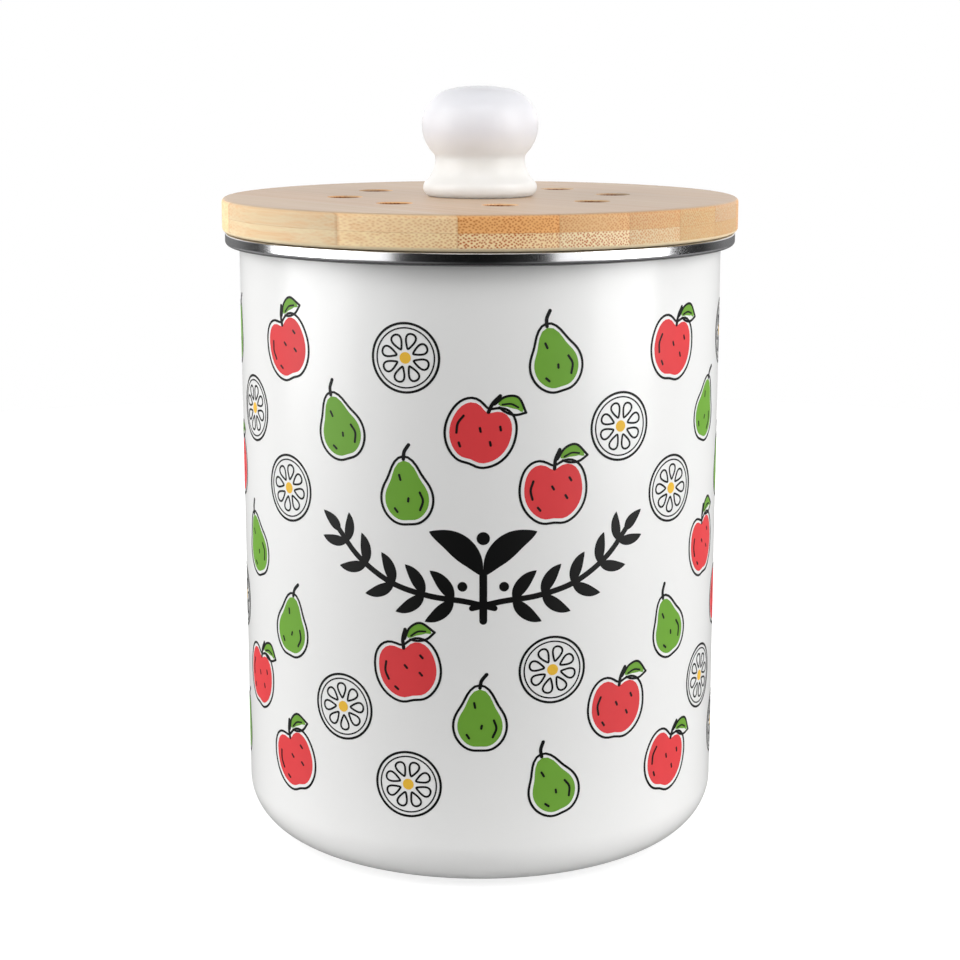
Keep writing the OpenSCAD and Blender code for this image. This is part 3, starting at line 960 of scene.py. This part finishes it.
class CADDY_OT_filter(Operator):
    """Makes the carbon foam pad, a soft disc with a crowned, slightly uneven underside"""
    bl_idname = "caddy.filter"
    bl_label = "Carbon Filter Pad"

    def execute(self, context):
        low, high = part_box("filter_pad")
        radius, rounded, crown = high.x, 2.2 * MM, 0.5 * MM
        flat = radius - rounded
        r = np.linspace(0, flat, 34)
        under = np.stack([r, low.z + crown * (r / flat) ** 2], 1)
        corner = arc((flat, under[-1, 1] + rounded), rounded, -90, 0, 8)[1:]
        over = arc((radius - 1 * MM, high.z - 1 * MM), 1 * MM, 0, 90, 5)
        points, faces = revolve(np.concatenate([under, corner, over, [(0, high.z)]]), ROUND_PAD)
        x, y, z = points.T
        uneven = (np.sin(310 * x + 1.1) * np.sin(270 * y) + 0.6 * np.sin(730 * x - 590 * y)
                  + 0.4 * np.sin(910 * y + 350 * x))
        share = np.clip((high.z - 2 * MM - z) / (5 * MM), 0, 1)
        points[:, 2] = z + 0.10 * MM * share * (1 + uneven / 2)
        foam = foam_finish()
        pad = piece("carbon_filter_pad", (points, faces), foam, "lid", ("filter_pad",))
        return {"FINISHED"}


class CADDY_OT_fittings(Operator):
    """Finishes the screws, washer, clips, spacers and the knob's insert"""
    bl_idname = "caddy.fittings"
    bl_label = "Metal Fittings"

    def execute(self, context):
        steel, brass = linear(198, 199, 202), linear(214, 176, 96)
        turned = turned_metal_finish("turned_steel", steel, (300, 300, 5200))
        brushed = turned_metal_finish("brushed_clip_steel", steel, (4200, 260, 4200))
        warm = turned_metal_finish("turned_brass", brass, (300, 300, 4800))
        refinish(turned, "knob_screw", "knob_washer", "clip_screws")
        refinish(brushed, "filter_clip_1", "filter_clip_2", "filter_clip_3")
        refinish(warm, "clip_spacers", "knob_insert")
        return {"FINISHED"}


def softbox(name, bearing, rise, distance, width, tall, power, aim, shows=True):
    """A rectangular lamp at a bearing from the front, a height and a distance, that faces a point on the
    axis. One that doesn't show gives light without being seen in glossy surfaces."""
    a = math.radians(bearing)
    lamp = bpy.data.lights.new(name, "AREA")
    lamp.shape, lamp.size, lamp.size_y, lamp.energy = "RECTANGLE", width, tall, power
    stand = placed(name, lamp)
    stand.location = (distance * math.sin(a), -distance * math.cos(a), rise)
    towards = np.array((0, 0, aim)) - np.array(stand.location)
    level = math.hypot(towards[0], towards[1])
    stand.rotation_euler = (math.atan2(level, -towards[2]), 0, math.atan2(-towards[0], towards[1]))
    stand.visible_camera = False
    stand.visible_glossy = shows
    return stand


def studio_camera(scene, s):
    """Puts the camera in front of the axis, looking a little down."""
    eye = bpy.data.cameras.new("studio_camera")
    eye.lens, eye.sensor_width, eye.sensor_fit = s.lens, 36.0, "AUTO"
    camera = placed("studio_camera", eye)
    camera.location = (0, -s.distance, s.level)
    camera.rotation_euler = (math.pi / 2 - s.pitch, 0, 0)
    scene.camera = camera
    scene.view_settings.view_transform = "Standard"


def studio_lamps(s):
    """Stands three tall softboxes on each side, one high in front, and a narrow lamp that faces the knob."""
    tall = 1.25
    for name, bearing, spread, power in (
            ("softbox_left", -79, 40, s.left), ("wing_left", -48, 22, 0.17 * s.left),
            ("softbox_right", 69, 34, s.right), ("wing_right", 41.5, 21, 0.155 * s.right),
            ("rear_left", -134, 32, 0.66 * s.left), ("rear_right", 131, 38, 0.70 * s.right)):
        softbox(name, bearing, tall / 2, 1.0, 2 * math.tan(math.radians(spread / 2)), tall, power, tall / 2,
                "rear" not in name)
    softbox("high_front", 0, 1.4, 0.8, 1.0, 0.6, s.high, 0.1)
    snoot = softbox("knob_snoot", 0, 0.46, 0.9, 0.02, 0.02, s.snoot, 0.236, False)
    snoot.data.type = "SPOT"
    snoot.data.spot_size, snoot.data.spot_blend, snoot.data.shadow_soft_size = math.radians(4.8), 0.5, 0.01


def studio_room(scene, s):
    """The room: white to the camera, dim to matt surfaces, and lit at the back to glossy ones."""
    room = bpy.data.worlds.new("studio_room")
    scene.world = room
    g = Graph(room)
    ray = g.add("LightPath", out="Is Camera Ray")
    glossy = g.add("LightPath", out="Is Glossy Ray")
    way = g.add("TexCoord", out="Generated")
    back = g.along(way, (0, 1, 0))
    rise = g.along(way, (0, 0, 1))
    above = rise.clip(-0.02, 0.04) * (1 - rise.clip(0.35, 0.6))
    shine = (back.clip(0.42, 0.78) * (0.2 + above * (s.backdrop - 0.2))
             + 0.8 * back.clip(0.975, 0.995) * (1 - above))
    lit = glossy * (shine - s.ambient) + s.ambient
    g.add("OutputWorld", {}, {"Surface": g.add(
        "Background", {}, {"Color": (1.0, 1.0, 1.0), "Strength": ray * (1 - lit) + lit})})


def floor_finish(shade):
    """The floor: pale to the camera, a weak bounce with a faintly lit core under the base to everything else,
    and clear from below."""
    g = new_finish("pale_floor")
    seen = g.add("LightPath", out="Is Camera Ray")
    mirror = g.add("LightPath", out="Is Glossy Ray")
    away = g.size(g.place())
    shine = g.add("Emission", {},
                  {"Color": (1.0, 1.0, 1.0), "Strength": 1.22 + 0.5 * away.clip(0.12, 0.42)})
    aside = g.along(g.place(), (1, 0, 0)).sum("ABSOLUTE").clip(0.05, 0.35)
    bounce = 0.02 + 0.18 * aside + 0.6 * (1 - away.clip(0.12, 0.20)) * (1 - mirror)
    matt = g.add("BsdfDiffuse", {},
                 {"Color": g.mixed(seen, g.vector(bounce, bounce, bounce), shade)})
    core = 1 - away.clip(0.058, 0.074)
    both = g.add("MixShader", {}, {0: seen * 0.6 + (1 - seen) * core * 0.4, 1: matt, 2: shine})
    below = g.add("NewGeometry", out="Backfacing")
    clear = g.add("BsdfTransparent")
    g.add("OutputMaterial", {}, {
        "Surface": g.add("MixShader", {}, {0: below, 1: both, 2: clear})})
    return g.owner


def studio_floor(s):
    """Lays a round floor that faces up."""
    rings = np.linspace(0, FLOOR_RADIUS, 9)[1:]
    a = turns(ROUND_FLOOR)
    points = np.stack([rings[:, None] * np.cos(a), rings[:, None] * np.sin(a),
                       np.full((len(rings), ROUND_FLOOR), FLOOR_LEVEL)], -1).reshape(-1, 3)
    points = np.concatenate([points, [[0, 0, FLOOR_LEVEL]]])
    faces = np.concatenate([ring_faces(len(rings), ROUND_FLOOR)[:, ::-1],
                            fan(len(points) - 1, 0, ROUND_FLOOR, True)])
    mesh = bpy.data.meshes.new("studio_floor")
    mesh.from_pydata(points.tolist(), [], [[k for k in f if k >= 0] for f in faces.tolist()])
    floor = placed("studio_floor", mesh)
    mesh.materials.append(floor_finish(s.floor))


class CADDY_OT_studio(Operator):
    """Sets up the camera, the softboxes, the room and the pale floor"""
    bl_idname = "caddy.studio"
    bl_label = "Studio"

    def execute(self, context):
        s, scene = context.scene.caddy_studio, context.scene
        studio_camera(scene, s)
        studio_lamps(s)
        studio_room(scene, s)
        studio_floor(s)
        return {"FINISHED"}


SETTINGS = {
    "caddy_canister": CanisterSettings, "caddy_rim": RimSettings, "caddy_print": PrintSettings,
    "caddy_lid": LidSettings, "caddy_knob": KnobSettings, "caddy_studio": StudioSettings,
}
OPERATORS = (CADDY_OT_studio, CADDY_OT_canister, CADDY_OT_rim, CADDY_OT_motifs, CADDY_OT_garland,
             CADDY_OT_lid, CADDY_OT_knob, CADDY_OT_seal, CADDY_OT_filter, CADDY_OT_fittings)


class CADDY_PT_panel(Panel):
    """Lists the caddy's pieces and the sizes and colours that they are made with"""
    bl_idname = "CADDY_PT_panel"
    bl_label = "Compost Caddy"
    bl_space_type = "VIEW_3D"
    bl_region_type = "UI"
    bl_category = "Caddy"

    def draw(self, context):
        for operator in OPERATORS:
            self.layout.operator(operator.bl_idname)
        for name, group in SETTINGS.items():
            box = self.layout.box()
            box.label(text=group.__doc__)
            for field in group.__annotations__:
                box.prop(getattr(context.scene, name), field)


CLASSES = (*SETTINGS.values(), *OPERATORS, CADDY_PT_panel)


def register():
    """Registers every class and hangs the settings on the scene."""
    for kind in CLASSES:
        bpy.utils.register_class(kind)
    for name, group in SETTINGS.items():
        setattr(bpy.types.Scene, name, PointerProperty(type=group))


def unregister():
    """Takes the settings off the scene and the classes out again."""
    for name in SETTINGS:
        delattr(bpy.types.Scene, name)
    for kind in reversed(CLASSES):
        bpy.utils.unregister_class(kind)


def main():
    """Registers the classes and makes every piece in order."""
    register()
    bpy.ops.caddy.studio()
    bpy.ops.caddy.canister()
    bpy.ops.caddy.rim()
    bpy.ops.caddy.motifs()
    bpy.ops.caddy.garland()
    bpy.ops.caddy.lid()
    bpy.ops.caddy.knob()
    bpy.ops.caddy.seal()
    bpy.ops.caddy.filter()
    bpy.ops.caddy.fittings()


if __name__ == "__main__":
    main()
